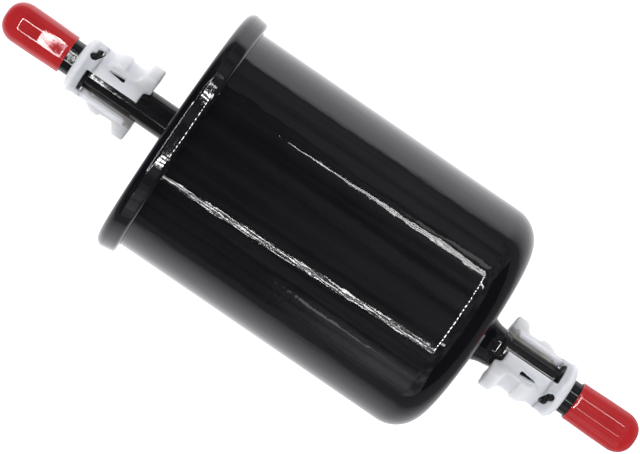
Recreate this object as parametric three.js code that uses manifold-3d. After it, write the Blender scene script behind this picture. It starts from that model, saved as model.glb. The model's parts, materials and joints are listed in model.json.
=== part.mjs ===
// Inline fuel filter: a drawn steel canister closed by a double-seamed cover, with a spring-loaded
// pleated element inside. Each end has a beaded 8 mm spigot with a quick-connect retainer clip and a
// push-on dust cap. Millimetres. +X runs along the axis from inlet to outlet, +Z is up with the filter
// lying down, and the origin is on the axis, midway between the tips of the two dust caps.

import * as THREE from 'three';
import { mergeVertices } from 'three/addons/utils/BufferGeometryUtils.js';
import Module from 'manifold-3d';

const wasm = await Module();
wasm.setup();

// ---------------------------------------------------------------- driving dimensions

const fitGap = 0.3; // between pieces that touch on the real filter

// canister and cover
const bodyRadius = 27.5;
const bodyWall = 0.8;
const canisterLength = 79.8; // seam crest to the flat of the closed end
const cornerRadius = 7.6; // round edge of the closed end
const bossRadius = 10; // raised middle of the closed end
const bossHeight = 0.6;
const neckHeight = 4.6; // drawn collar that the outlet tube passes through
const neckTipWall = 0.35;
const neckFlare = 1.6; // how much wider the collar is at its foot
const coverSheet = 0.8;
const seamOverhang = 2.65; // how far the seam stands out from the canister
const seamDepth = 5.1; // seam height along the axis
const seamRound = 1.95; // outer edge of the seam crest
const countersink = 4.1; // crest to the cover's flat panel
const bodyHookDepth = 2; // canister flange turned back inside the seam
const gasketThickness = 0.6;

// spigots
const tubeRadius = 4;
const tubeWall = 0.9;
const inletReach = 40.35; // seam crest to the inlet tube's end
const outletReach = 38.85; // closed end to the outlet tube's end
const beadHeight = 1.4; // the bead stands this far out from the tube
const beadWidth = 1.8;
const beadSetback = 18.4; // tube end to the bead's middle
const footOverhang = 3; // welded foot flange inside the canister
const footThickness = 0.8;
const inletTubeInside = 2.4; // tube past its foot flange
const outletTubeInside = 8.6;
const brazeSize = 1.9;

// filter element
const fuelAnnulus = 4; // between the pleats and the canister wall
const pleatCount = 30;
const pleatTipHalfWidth = 0.7;
const pleatWall = 1;
const centreTubeWall = 0.6;
const centreTubeClearance = 0.5;
const windowRows = 4;
const windowsAround = 6; // an even number, cut in opposite pairs
const windowLength = 8;
const windowWidth = 4.4;
const discSheet = 0.6;
const discSkirt = 3.4;
const pottingThickness = 1;
const springSpace = 9.4; // cover to the element's closed end
const springWire = 1.4;
const springFootClearance = 1.3; // between the coil and the inlet tube's foot flange
const springTurns = 3.25;
const springBossHeight = 1.4;
const springBossClearance = 0.6;
const outletPlenum = 6; // element to the canister's closed end
const grommetWall = 2.1;
const grommetLip = 1.6;
const grommetLipThickness = 0.8;
const grommetLipClearance = 0.8; // between the lip and the centre tube's bore
const seamClipDepth = 2.6;
const seamClipWall = 0.4;
const seamClipClearance = 0.4;

// dust caps
const capLength = 16.1;
const capOverhang = 2.95; // tube end to the cap's tip
const capFit = 0.1;
const capMouthWall = 0.45;
const capTipWall = 0.6;
const capTipFlat = 1.3;

// retainer clips
const clipLength = 17.5;
const clipBeadSetback = 3; // front face to the bead's middle
const clipFlangeRadius = 6.7;
const clipFlangeEnd = 2.65;
const clipShellWall = 1.2;
const clipLegClearance = 1; // room for a leg to be pressed in towards the tube
const clipSkirtEnd = 15.6;
const clipLegHalfAngle = 61;
const clipSplit = 4.3; // where the living hinges begin
const clipSplitGap = 0.35;
const sideWindowStart = 3.2;
const beadWindowAngle = 21; // one window over each leg, to one side of its tab
const beadWindowHalfWidth = 1.7;
const beadWindowEnd = 4.1;
const beadWindowStart = 2;
const rampStart = 6;
const rampTop = 8;
const rampEnd = 10.2;
const rampHeight = 1.4; // shoulder that holds the mating connector
const rampStep = 0.65;
const tabHalfWidth = 3.1;
const tabStart = 13.6;
const tabFull = 14.6;
const tabRise = 3.1; // thumb tab above the shell
const slitStart = 6.4;
const slitEnd = 10.7;
const slitWidth = 0.9;
const inletClipAngle = 32; // a leg's direction, from +Y towards +Z
const outletClipAngle = 142;

// facets round each turned piece, always divisible by 4
const largeFacets = 36;
const smallFacets = 20;
const springFacets = 6;
const springStepsPerTurn = 12;

// ---------------------------------------------------------------- places that follow from them

const totalLength = 2 * capOverhang + inletReach + canisterLength + outletReach;
const capTipX = totalLength / 2;
const tubeEndX = capTipX - capOverhang;
const capMouthX = capTipX - capLength;
const beadX = tubeEndX - beadSetback;
const clipFrontX = beadX + clipBeadSetback;
const crestX = -tubeEndX + inletReach;
const closedEndX = crestX + canisterLength;

const boreRadius = bodyRadius - bodyWall;
const seamRadius = bodyRadius + seamOverhang;
const seamRearX = crestX + seamDepth;
const panelX = crestX + countersink;
const coverInsideX = panelX + coverSheet;
const hookTopX = crestX + coverSheet + gasketThickness + 2 * fitGap;
const bossTopX = closedEndX + bossHeight;
const neckTipX = bossTopX + neckHeight;
const tubeHole = tubeRadius + fitGap;
const neckTipRadius = tubeHole + neckTipWall;
const footRadius = tubeRadius + footOverhang;

const grommetRadius = tubeHole + grommetWall;
const grommetLipRadius = grommetRadius + grommetLip;
const centreTubeBore = grommetLipRadius + grommetLipClearance;
const centreTubeRadius = centreTubeBore + centreTubeWall;
const springRadius = footRadius + springFootClearance + springWire / 2; // to the middle of the wire

const mediaRadius = boreRadius - fuelAnnulus;
const discRadius = mediaRadius + fitGap + discSheet;
const closedDiscX = coverInsideX + springSpace;
const openDiscX = closedEndX - bodyWall - outletPlenum;
const discToMedia = discSheet + pottingThickness + 2 * fitGap;
const mediaStartX = closedDiscX + discToMedia;
const mediaEndX = openDiscX - discToMedia;
const mediaInnerRadius = centreTubeRadius + centreTubeClearance;
const outletFootX = bossTopX - bodyWall - fitGap; // the foot flange's face next to the closed end
const grommetEndX = outletFootX - footThickness - fitGap;

// ---------------------------------------------------------------- materials

const finishes = {
  gloss_black_paint: { color: 0x0c0c10, roughness: 0.12, metalness: 0.1 },
  black_coated_tube: { color: 0x141416, roughness: 0.25, metalness: 0.3 },
  seam_compound: { color: 0x3a2a20, roughness: 0.8, metalness: 0 },
  braze: { color: 0x1a1a1c, roughness: 0.35, metalness: 0.4 },
  filter_paper: { color: 0xd9b45c, roughness: 0.9, metalness: 0 },
  tinplate: { color: 0xb8bcc0, roughness: 0.35, metalness: 0.9 },
  core_nylon: { color: 0x202226, roughness: 0.55, metalness: 0 },
  plastisol: { color: 0x8a3a1e, roughness: 0.6, metalness: 0 },
  rubber: { color: 0x101010, roughness: 0.75, metalness: 0 },
  spring_steel: { color: 0x9a9da0, roughness: 0.3, metalness: 1 },
  clip_nylon: { color: 0xe4e6ea, roughness: 0.45, metalness: 0 },
  red_vinyl: { color: 0xb41f22, roughness: 0.3, metalness: 0 },
};

const materials = {};
for (const [name, finish] of Object.entries(finishes)) {
  materials[name] = new THREE.MeshStandardMaterial({ name, ...finish });
}

// ---------------------------------------------------------------- shape helpers

const radians = THREE.MathUtils.degToRad;

// Points along a circular arc in the [x, radius] half-plane, both ends included.
function arc(centreX, centreRadius, radius, fromDegrees, toDegrees, steps) {
  return Array.from({ length: steps + 1 }, (_, i) => {
    const angle = radians(fromDegrees + ((toDegrees - fromDegrees) * i) / steps);
    return [centreX + radius * Math.cos(angle), centreRadius + radius * Math.sin(angle)];
  });
}

function welded(geometry) {
  geometry.deleteAttribute('normal');
  geometry.deleteAttribute('uv');
  return mergeVertices(geometry, 1e-4);
}

// A turned piece about the X axis. Its outline is a list of [x, radius] points that closes on itself,
// or starts and ends on the axis.
function turned(outline, facets) {
  let area = 0;
  outline.forEach(([x, r], i) => {
    const [nextX, nextR] = outline[(i + 1) % outline.length];
    area += r * nextX - nextR * x;
  });
  const ordered = area > 0 ? outline : [...outline].reverse();
  const points = ordered.map(([x, r]) => new THREE.Vector2(r, x));
  if (outline[0][1] > 0) {
    points.push(points[0].clone());
  }
  const geometry = new THREE.LatheGeometry(points, facets);
  geometry.rotateZ(-Math.PI / 2);
  return welded(geometry);
}

// A flat shape in the YZ plane, extruded along X from one place to another.
function extrudedAlongX(shape, fromX, toX) {
  const geometry = new THREE.ExtrudeGeometry(shape, { depth: toX - fromX, bevelEnabled: false });
  geometry.rotateY(Math.PI / 2);
  geometry.translate(fromX, 0, 0);
  return welded(geometry);
}

function solid(geometry) {
  const mesh = new wasm.Mesh({
    numProp: 3,
    vertProperties: new Float32Array(geometry.getAttribute('position').array),
    triVerts: new Uint32Array(geometry.index.array),
  });
  return new wasm.Manifold(mesh);
}

function geometryOf(manifold) {
  const mesh = manifold.getMesh();
  const geometry = new THREE.BufferGeometry();
  geometry.setAttribute('position', new THREE.BufferAttribute(mesh.vertProperties, 3));
  geometry.setIndex(new THREE.BufferAttribute(mesh.triVerts, 1));
  return geometry;
}

function block(lengthX, lengthY, lengthZ, x, y, z) {
  const geometry = new THREE.BoxGeometry(lengthX, lengthY, lengthZ);
  geometry.translate(x, y, z);
  return welded(geometry);
}

// A wedge of the given half-angle about +Z, from the axis out to the given radius.
function sector(halfAngleDegrees, radius, fromX, toX) {
  const half = radians(halfAngleDegrees);
  const steps = 6;
  const shape = new THREE.Shape();
  shape.moveTo(0, 0);
  for (let i = 0; i <= steps; i += 1) {
    const angle = half - (2 * half * i) / steps;
    // the extrusion's X becomes -Z, so the wedge opens towards -X here
    shape.lineTo(-radius * Math.cos(angle), radius * Math.sin(angle));
  }
  shape.closePath();
  return extrudedAlongX(shape, fromX, toX);
}

function piece(name, geometry, finish) {
  const mesh = new THREE.Mesh(geometry, materials[finish]);
  mesh.name = name;
  return mesh;
}

// ---------------------------------------------------------------- canister and cover

function canister() {
  const wallRound = cornerRadius - bodyWall;
  const roundX = closedEndX - cornerRadius;
  const roundRadius = bodyRadius - cornerRadius;
  const hookRadius = seamRadius - coverSheet - fitGap;
  const neckFlareCurve = [0, 0.25, 0.55, 1].map((t) => [
    bossTopX + neckHeight * t,
    neckTipRadius + neckFlare * (1 - t) ** 2,
  ]);
  const outline = [
    [neckTipX, tubeHole],
    ...neckFlareCurve.reverse(),
    [bossTopX, bossRadius],
    [closedEndX, bossRadius + bossHeight],
    ...arc(roundX, roundRadius, cornerRadius, 0, 90, 6),
    [hookTopX + bodyWall, bodyRadius],
    [hookTopX + bodyWall, hookRadius - bodyWall],
    [hookTopX + bodyHookDepth, hookRadius - bodyWall],
    [hookTopX + bodyHookDepth, hookRadius],
    [hookTopX, hookRadius],
    [hookTopX, boreRadius],
    ...arc(roundX, roundRadius, wallRound, 90, 0, 6),
    [closedEndX - bodyWall, bossRadius + bossHeight - bodyWall / 2],
    [bossTopX - bodyWall, bossRadius - bodyWall / 2],
    [bossTopX - bodyWall, tubeHole],
  ];
  return piece('canister', turned(outline, largeFacets), 'gloss_black_paint');
}

function endCover() {
  const chuckRadius = boreRadius - fitGap; // outside of the cover's upright wall
  const chuckInside = chuckRadius - coverSheet;
  const outerRoundX = crestX + seamRound;
  const outerRoundRadius = seamRadius - seamRound;
  const lipRound = coverSheet;
  const outline = [
    [coverInsideX, tubeHole],
    [panelX, tubeHole],
    [panelX, chuckInside - coverSheet],
    [panelX - coverSheet, chuckInside],
    [crestX + coverSheet, chuckInside],
    [crestX, chuckInside + coverSheet],
    ...arc(outerRoundX, outerRoundRadius, seamRound, 180, 90, 4),
    [seamRearX - lipRound / 2, seamRadius - lipRound / 2],
    [seamRearX, seamRadius - lipRound],
    [seamRearX, bodyRadius + fitGap],
    [seamRearX - coverSheet, bodyRadius + fitGap],
    [seamRearX - coverSheet, seamRadius - coverSheet],
    ...arc(outerRoundX, outerRoundRadius, seamRound - coverSheet, 90, 180, 3),
    [crestX + coverSheet, chuckRadius + coverSheet / 2],
    [crestX + coverSheet * 1.5, chuckRadius],
    [panelX - coverSheet / 2, chuckRadius],
    [coverInsideX, chuckRadius - coverSheet],
  ];
  return piece('end_cover', turned(outline, largeFacets), 'gloss_black_paint');
}

function coverSeal() {
  const startX = crestX + coverSheet + fitGap;
  const innerRadius = boreRadius + fitGap;
  const outerRadius = seamRadius - seamRound + fitGap / 2;
  const outline = [
    [startX, innerRadius],
    [startX, outerRadius],
    [startX + gasketThickness, outerRadius],
    [startX + gasketThickness, innerRadius],
  ];
  return piece('cover_seal', turned(outline, largeFacets), 'seam_compound');
}

// ---------------------------------------------------------------- spigots

// The bead's outline, walking away from the tube's end.
function beadOutline(towardsCanister) {
  const half = beadWidth / 2;
  const crown = tubeRadius + beadHeight;
  const shoulder = 0.4; // where the bead's round top begins
  return [
    [-half, tubeRadius],
    [-half + 0.1, crown - shoulder],
    [-half + shoulder, crown],
    [half - shoulder, crown],
    [half - 0.1, crown - shoulder],
    [half, tubeRadius],
  ].map(([x, r]) => [x * towardsCanister, r]);
}

// A spigot runs from its open end to its end inside the canister. towardsCanister is +1 for the inlet.
function spigot(name, towardsCanister, footX, tubeInside) {
  const endX = -tubeEndX * towardsCanister;
  const bead = beadOutline(towardsCanister).map(([x, r]) => [x - beadX * towardsCanister, r]);
  const footEndX = footX + footThickness * towardsCanister;
  const insideX = footEndX + tubeInside * towardsCanister;
  const outline = [
    [endX, tubeRadius - tubeWall],
    [endX, tubeRadius - tubeWall / 2],
    [endX + tubeWall * towardsCanister, tubeRadius],
    ...bead,
    [footX, tubeRadius],
    [footX, footRadius],
    [footEndX, footRadius],
    [footEndX, tubeRadius],
    [insideX, tubeRadius],
    [insideX, tubeRadius - tubeWall],
  ];
  return piece(name, turned(outline, smallFacets), 'black_coated_tube');
}

// A fillet of braze round a tube. It starts at a face and tapers away from the canister.
function brazeRing(name, faceX, awayFromCanister, width, height) {
  const outline = [
    [faceX, tubeHole],
    [faceX, tubeHole + width],
    [faceX + 0.35 * height * awayFromCanister, tubeHole + 0.45 * width],
    [faceX + height * awayFromCanister, tubeHole],
  ];
  return piece(name, turned(outline, smallFacets), 'braze');
}

// ---------------------------------------------------------------- filter element

function filterMedia() {
  const pitch = (2 * Math.PI) / pleatCount;
  const at = (radius, angle) => new THREE.Vector2(radius * Math.cos(angle), radius * Math.sin(angle));
  const tip = pleatTipHalfWidth / mediaRadius;
  const valley = pleatTipHalfWidth / mediaInnerRadius / 2;
  const outside = [];
  const inside = [];
  for (let i = 0; i < pleatCount; i += 1) {
    const angle = i * pitch;
    outside.push(at(mediaRadius, angle - tip), at(mediaRadius, angle + tip));
    outside.push(at(mediaInnerRadius + pleatWall, angle + pitch / 2));
    inside.push(at(mediaRadius - 1.6 * pleatWall, angle));
    inside.push(at(mediaInnerRadius, angle + pitch / 2 - valley));
    inside.push(at(mediaInnerRadius, angle + pitch / 2 + valley));
  }
  const shape = new THREE.Shape(outside);
  shape.holes.push(new THREE.Path(inside));
  return piece('filter_media', extrudedAlongX(shape, mediaStartX, mediaEndX), 'filter_paper');
}

// A folded strip that grips the pleat where the two ends of the paper meet.
function pleatSeamClip() {
  const inner = pleatTipHalfWidth + seamClipClearance;
  const outer = inner + seamClipWall;
  const top = mediaRadius + seamClipClearance + seamClipWall;
  const foot = mediaRadius - seamClipDepth;
  const section = new THREE.Shape(
    [
      [-outer, foot],
      [-outer, top],
      [outer, top],
      [outer, foot],
      [inner, foot],
      [inner, top - seamClipWall],
      [-inner, top - seamClipWall],
      [-inner, foot],
    ].map(([y, z]) => new THREE.Vector2(-z, y)),
  );
  const margin = discSkirt;
  const geometry = extrudedAlongX(section, mediaStartX + margin, mediaEndX - margin);
  return piece('pleat_seam_clip', geometry, 'tinplate');
}

function centreTube() {
  const outline = [
    [mediaStartX, centreTubeBore],
    [mediaStartX, centreTubeRadius],
    [mediaEndX, centreTubeRadius],
    [mediaEndX, centreTubeBore],
  ];
  let tube = solid(turned(outline, smallFacets));
  const rowPitch = (mediaEndX - mediaStartX) / windowRows;
  for (let row = 0; row < windowRows; row += 1) {
    const x = mediaStartX + rowPitch * (row + 0.5);
    for (let i = 0; i < windowsAround / 2; i += 1) {
      const cutter = block(windowLength, windowWidth, 3 * centreTubeRadius, x, 0, 0);
      cutter.rotateX((2 * Math.PI * i) / windowsAround);
      tube = tube.subtract(solid(cutter));
    }
  }
  return piece('centre_tube', geometryOf(tube), 'core_nylon');
}

function closedEndDisc() {
  const bossRim = springRadius - springWire / 2 - springBossClearance;
  const skirtX = closedDiscX + discSkirt;
  const bossX = closedDiscX - springBossHeight;
  const outline = [
    [bossX, 0],
    [bossX, bossRim],
    [closedDiscX, bossRim],
    [closedDiscX, discRadius],
    [skirtX, discRadius],
    [skirtX, discRadius - discSheet],
    [closedDiscX + discSheet, discRadius - discSheet],
    [closedDiscX + discSheet, bossRim - discSheet],
    [bossX + discSheet, bossRim - discSheet],
    [bossX + discSheet, 0],
  ];
  return piece('closed_end_disc', turned(outline, largeFacets), 'tinplate');
}

function openEndDisc() {
  const hole = grommetRadius + fitGap;
  const skirtX = openDiscX - discSkirt;
  const outline = [
    [openDiscX, hole],
    [openDiscX, discRadius],
    [skirtX, discRadius],
    [skirtX, discRadius - discSheet],
    [openDiscX - discSheet, discRadius - discSheet],
    [openDiscX - discSheet, hole],
  ];
  return piece('open_end_disc', turned(outline, largeFacets), 'tinplate');
}

// The bonding ring that glues the pleats and the centre tube into an end disc.
function pottingRing(name, fromX) {
  const toX = fromX + pottingThickness;
  const outerRadius = discRadius - discSheet - fitGap;
  const outline = [
    [fromX, centreTubeBore],
    [fromX, outerRadius],
    [toX, outerRadius],
    [toX, centreTubeBore],
  ];
  return piece(name, turned(outline, largeFacets), 'plastisol');
}

function outletGrommet() {
  const innerLipEndX = openDiscX - discSheet - fitGap;
  const outerLipX = openDiscX + fitGap;
  const outline = [
    [innerLipEndX - grommetLipThickness, tubeHole],
    [innerLipEndX - grommetLipThickness, grommetLipRadius],
    [innerLipEndX, grommetLipRadius],
    [innerLipEndX, grommetRadius],
    [outerLipX, grommetRadius],
    [outerLipX, grommetLipRadius],
    [outerLipX + grommetLipThickness, grommetLipRadius],
    [outerLipX + grommetLipThickness, grommetRadius],
    [grommetEndX, grommetRadius],
    [grommetEndX, tubeHole],
  ];
  return piece('outlet_grommet', turned(outline, smallFacets), 'rubber');
}

// The spring's wire, with its end turns wound closer than its middle ones.
class SpringPath extends THREE.Curve {
  getPoint(t, target = new THREE.Vector3()) {
    const startX = coverInsideX + fitGap + springWire / 2;
    const length = springSpace - 2 * fitGap - springWire;
    const closeWound = 0.45;
    const along = t - (closeWound * Math.sin(2 * Math.PI * t)) / (2 * Math.PI);
    const angle = 2 * Math.PI * springTurns * t;
    const y = springRadius * Math.cos(angle);
    const z = springRadius * Math.sin(angle);
    return target.set(startX + length * along, y, z);
  }
}

function elementSpring() {
  const wire = new THREE.Shape();
  for (let i = 0; i < springFacets; i += 1) {
    const angle = (2 * Math.PI * i) / springFacets;
    const x = (springWire / 2) * Math.cos(angle);
    const y = (springWire / 2) * Math.sin(angle);
    if (i === 0) {
      wire.moveTo(x, y);
    } else {
      wire.lineTo(x, y);
    }
  }
  wire.closePath();
  const geometry = new THREE.ExtrudeGeometry(wire, {
    steps: Math.round(springTurns * springStepsPerTurn),
    extrudePath: new SpringPath(),
    bevelEnabled: false,
  });
  return piece('element_spring', welded(geometry), 'spring_steel');
}

// ---------------------------------------------------------------- dust caps

// side is -1 for the inlet end and +1 for the outlet end.
function dustCap(name, side) {
  const bore = tubeRadius + capFit;
  const mouthRadius = bore + capMouthWall;
  const tipRadius = bore + capTipWall;
  const tipRound = tipRadius - capTipFlat;
  const floorX = tubeEndX + fitGap;
  const outline = [
    [capTipX, 0],
    ...arc(capTipX - tipRound, capTipFlat, tipRound, 0, 90, 4),
    [capMouthX, mouthRadius],
    [capMouthX, bore],
    [floorX, bore],
    [floorX, 0],
  ].map(([x, r]) => [side * x, r]);
  return piece(name, turned(outline, smallFacets), 'red_vinyl');
}

// ---------------------------------------------------------------- retainer clips

// Each clip is made with its front face at x = 0, its legs running towards +X, and one leg on +Z.

const clipBore = tubeRadius + fitGap;
const clipGroove = tubeRadius + beadHeight + fitGap;
const clipGrooveWall = 0.6;
const clipNeck = clipGroove + clipGrooveWall; // outside radius over the bead
const legBore = tubeRadius + clipLegClearance;
const legRadius = legBore + clipShellWall;
const tabRadius = legRadius + tabRise;

function clipCollar() {
  const grooveStart = clipBeadSetback - beadWidth / 2 - fitGap;
  const flangeRadius = Math.max(clipFlangeRadius, clipNeck + 0.4);
  const outline = [
    [0, clipBore],
    [0, clipBore + 0.6],
    [0.5, flangeRadius - 0.7],
    [1.2, flangeRadius],
    [clipFlangeEnd, flangeRadius],
    [clipFlangeEnd, clipNeck],
    [clipSplit, clipNeck],
    [clipSplit, clipGroove],
    [grooveStart, clipGroove],
    [grooveStart, clipBore],
  ];
  let collar = solid(turned(outline, smallFacets));
  const reach = 2 * flangeRadius;
  const sideHalfAngle = 90 - clipLegHalfAngle;
  for (const side of [90, -90]) {
    const opening = sector(sideHalfAngle, reach, sideWindowStart, clipSplit + 1);
    opening.rotateX(radians(side));
    collar = collar.subtract(solid(opening));
  }
  const windowDepth = flangeRadius - clipGroove + 1.5;
  for (const leg of [0, 180]) {
    const length = beadWindowEnd - beadWindowStart;
    const x = beadWindowStart + length / 2;
    const z = clipGroove - 0.6 + windowDepth / 2;
    const opening = block(length, 2 * beadWindowHalfWidth, windowDepth, x, 0, z);
    opening.rotateX(radians(leg + beadWindowAngle));
    collar = collar.subtract(solid(opening));
  }
  return geometryOf(collar);
}

// One leg: a curved skirt, a ramp that locks behind the mating connector, and a thumb tab.
function clipLeg() {
  const startX = clipSplit + clipSplitGap;
  const skirtOutline = [
    [startX, legBore],
    [startX, legRadius],
    [clipSkirtEnd, legRadius],
    [clipSkirtEnd, legBore],
  ];
  const skirtSector = solid(sector(clipLegHalfAngle, 2 * legRadius, 0, clipLength));
  let leg = solid(turned(skirtOutline, smallFacets)).intersect(skirtSector);

  const slitAngle = Math.asin(tabHalfWidth / legRadius) + slitWidth / 2 / legRadius;
  for (const side of [-1, 1]) {
    const slit = new THREE.Shape();
    slit.moveTo(slitStart, 0);
    slit.lineTo(slitEnd, -slitWidth / 2);
    slit.lineTo(slitEnd, slitWidth / 2);
    slit.closePath();
    const geometry = new THREE.ExtrudeGeometry(slit, { depth: 2 * legRadius, bevelEnabled: false });
    geometry.rotateX(-side * slitAngle);
    leg = leg.subtract(solid(welded(geometry)));
  }

  const shoulder = legRadius + rampHeight;
  const hidden = legBore + clipShellWall / 2; // the block's foot, sunk into the skirt's own wall
  const blockOutline = [
    [rampStart, hidden],
    [rampStart, legRadius],
    [rampTop, shoulder],
    [rampEnd, shoulder],
    [rampEnd, shoulder - rampStep],
    [tabStart, shoulder - rampStep - 0.2],
    [tabFull, tabRadius],
    [clipLength - 0.4, tabRadius],
    [clipLength, tabRadius - 0.5],
    [clipLength, legRadius + 0.3],
    [clipSkirtEnd + 0.4, legRadius],
    [clipSkirtEnd, hidden],
  ];
  const slab = block(clipLength, 2 * tabHalfWidth, 2 * tabRadius, clipLength / 2, 0, tabRadius);
  const raised = solid(turned(blockOutline, smallFacets)).intersect(solid(slab));
  return geometryOf(leg.add(raised));
}

function retainer(side, legAngle) {
  const prefix = side < 0 ? 'inlet_clip' : 'outlet_clip';
  const turn = radians(legAngle - 90);
  const endForEnd = side < 0 ? 0 : Math.PI;
  const group = new THREE.Group();
  const collar = piece(`${prefix}_collar`, clipCollar(), 'clip_nylon');
  const legA = piece(`${prefix}_leg_a`, clipLeg(), 'clip_nylon');
  const legB = piece(`${prefix}_leg_b`, clipLeg(), 'clip_nylon');
  legB.rotation.x = Math.PI;
  group.add(collar, legA, legB);
  group.position.x = side * clipFrontX;
  group.rotation.set(turn, 0, endForEnd);
  return group;
}

// ---------------------------------------------------------------- assembly

const housing = new THREE.Group();
housing.add(
  canister(),
  endCover(),
  coverSeal(),
  spigot('inlet_tube', 1, coverInsideX + fitGap, inletTubeInside),
  spigot('outlet_tube', -1, outletFootX, outletTubeInside),
  brazeRing('inlet_braze_ring', panelX - fitGap, -1, brazeSize, 0.8 * brazeSize),
  brazeRing('outlet_braze_ring', neckTipX + fitGap, 1, neckTipWall, 0.7 * brazeSize),
);

const element = new THREE.Group();
element.add(
  filterMedia(),
  pleatSeamClip(),
  centreTube(),
  closedEndDisc(),
  openEndDisc(),
  pottingRing('closed_end_potting', closedDiscX + discSheet + fitGap),
  pottingRing('open_end_potting', openDiscX - discSheet - fitGap - pottingThickness),
  outletGrommet(),
);

const fuelFilter = new THREE.Group();
fuelFilter.add(
  housing,
  element,
  elementSpring(),
  retainer(-1, inletClipAngle),
  retainer(1, outletClipAngle),
  dustCap('inlet_cap', -1),
  dustCap('outlet_cap', 1),
);

export default fuelFilter;
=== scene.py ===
# %% [markdown]
# # An inline fuel filter, piece by piece
# The filter is a drawn steel can with a cover rolled onto its open end. A pleated paper element sits
# inside on a spring. A beaded tube leaves each end, with a nylon clip and a red dust cap on it.
# The imported CAD model gives the places and sizes. This lesson makes the fine surfaces round it, so the
# first cell loads that frame before anything is added.

# %% Load the frame
import json
import math

import bmesh
import bpy
from mathutils import Matrix, Vector


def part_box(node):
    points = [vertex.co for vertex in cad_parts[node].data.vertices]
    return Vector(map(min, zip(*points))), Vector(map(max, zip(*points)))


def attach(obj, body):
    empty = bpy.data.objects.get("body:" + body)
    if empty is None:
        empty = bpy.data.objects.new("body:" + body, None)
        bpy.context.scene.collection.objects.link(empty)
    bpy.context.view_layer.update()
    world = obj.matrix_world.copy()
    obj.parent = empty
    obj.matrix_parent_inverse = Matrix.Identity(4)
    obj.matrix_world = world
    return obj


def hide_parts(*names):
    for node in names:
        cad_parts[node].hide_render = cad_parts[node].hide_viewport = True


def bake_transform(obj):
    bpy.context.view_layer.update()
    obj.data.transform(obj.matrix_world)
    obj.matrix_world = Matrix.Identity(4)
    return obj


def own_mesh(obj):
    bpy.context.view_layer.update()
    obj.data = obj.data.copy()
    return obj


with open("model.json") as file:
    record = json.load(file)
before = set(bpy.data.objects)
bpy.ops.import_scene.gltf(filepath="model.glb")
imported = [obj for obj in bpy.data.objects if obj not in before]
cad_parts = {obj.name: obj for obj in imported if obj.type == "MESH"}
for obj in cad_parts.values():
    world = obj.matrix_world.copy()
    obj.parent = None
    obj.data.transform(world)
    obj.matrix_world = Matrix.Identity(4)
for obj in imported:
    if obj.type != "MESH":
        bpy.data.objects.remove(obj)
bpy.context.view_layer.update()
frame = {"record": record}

# %% [markdown]
# ## Sizes
# Sizes in this lesson are in millimetres and become metres only when a mesh is made. Where the frame
# already knows a size, it is read from there: a mount gives the face it lies on, and the box of a
# turned node gives its two ends and its radius.

# %% Read the main sizes from the frame
MM = 0.001
MOUNTS = {mount["name"]: mount for mount in frame["record"]["mounts"]}


def turned_span(node):
    """First x, last x and outer radius of a node that is turned about X, in millimetres."""
    low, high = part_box(node)
    return low.x / MM, high.x / MM, high.z / MM


BODY_RADIUS = MOUNTS["strap_clamp_band"]["dims"]["r_mm"]
CREST_X = MOUNTS["seam_crest_face"]["pos_m"][0] / MM
CLOSED_END_X = MOUNTS["closed_end_face"]["pos_m"][0] / MM
SEAM_RADIUS = turned_span("end_cover")[2]
COVER_INSIDE_X = turned_span("end_cover")[1]
NECK_TIP_X, HOOK_RADIUS = turned_span("canister")[1:]
HOOK_TOP_X = turned_span("canister")[0]
INLET_END_X, INLET_INSIDE_X, FOOT_RADIUS = turned_span("inlet_tube")
OUTLET_INSIDE_X, OUTLET_END_X = turned_span("outlet_tube")[:2]
print(f"canister {2 * BODY_RADIUS:.1f} across, seam {2 * SEAM_RADIUS:.1f}, "
      f"tube ends {OUTLET_END_X - INLET_END_X:.1f} apart")

# %% Sizes that the frame does not state
SHEET = 0.8  # canister and cover steel
FIT_GAP = 0.3  # left between pieces that touch
CORNER_RADIUS = 7.6  # round edge of the closed end
BOSS_RADIUS = 10.0  # raised middle of the closed end
BOSS_HEIGHT = 0.6
NECK_FLARE = 1.6
NECK_TIP_WALL = 0.35
SEAM_DEPTH = 5.1
SEAM_ROUND = 1.95
COUNTERSINK = 4.1
TUBE_RADIUS = 4.0
TUBE_WALL = 0.9
BEAD_RADIUS = 5.4
BEAD_WIDTH = 1.8
BEAD_SETBACK = 18.4  # tube end to the middle of the bead
TUBE_HOLE = TUBE_RADIUS + FIT_GAP
BEAD_X = OUTLET_END_X - BEAD_SETBACK

# %% [markdown]
# ## The camera
# The camera comes first, because the lamps are placed by what it sees in the paint. It looks almost
# straight down on the filter from 0.6 m, a little from the inlet end, and is rolled so that the axis
# runs down to the right. Writing the camera's matrix from three directions keeps that exact.

# %% Place the camera
CAMERA_DISTANCE = 600 * MM
CAMERA_LEAN = math.radians(1.8)  # towards the inlet
CAMERA_ROLL = math.radians(34.4)
CAMERA_LENS = 155.5  # millimetres, on a 36 mm sensor
CAMERA_AIM = Vector((-0.42 * MM, 0, 0))


def look_down(name, aim, distance, lean, roll, lens):
    """A camera above the filter, leaning towards -X and rolled about its own view."""
    forward = Vector((math.sin(lean), 0, -math.cos(lean)))
    along_axis = Vector((math.cos(lean), 0, math.sin(lean)))
    right = math.cos(roll) * along_axis + math.sin(roll) * Vector((0, 1, 0))
    up = math.cos(roll) * Vector((0, 1, 0)) - math.sin(roll) * along_axis
    data = bpy.data.cameras.new(name)
    data.lens, data.sensor_width = lens, 36
    data.clip_start, data.clip_end = 0.01, 20
    camera = bpy.data.objects.new(name, data)
    turn = Matrix((right, up, -forward)).transposed().to_4x4()
    camera.matrix_world = Matrix.Translation(aim - forward * distance) @ turn
    bpy.context.collection.objects.link(camera)
    return camera


camera = look_down("camera", CAMERA_AIM, CAMERA_DISTANCE, CAMERA_LEAN, CAMERA_ROLL, CAMERA_LENS)
bpy.context.scene.camera = camera
bpy.context.scene.view_settings.view_transform = "Standard"
print("camera at", [round(c, 3) for c in camera.matrix_world.translation])

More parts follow.
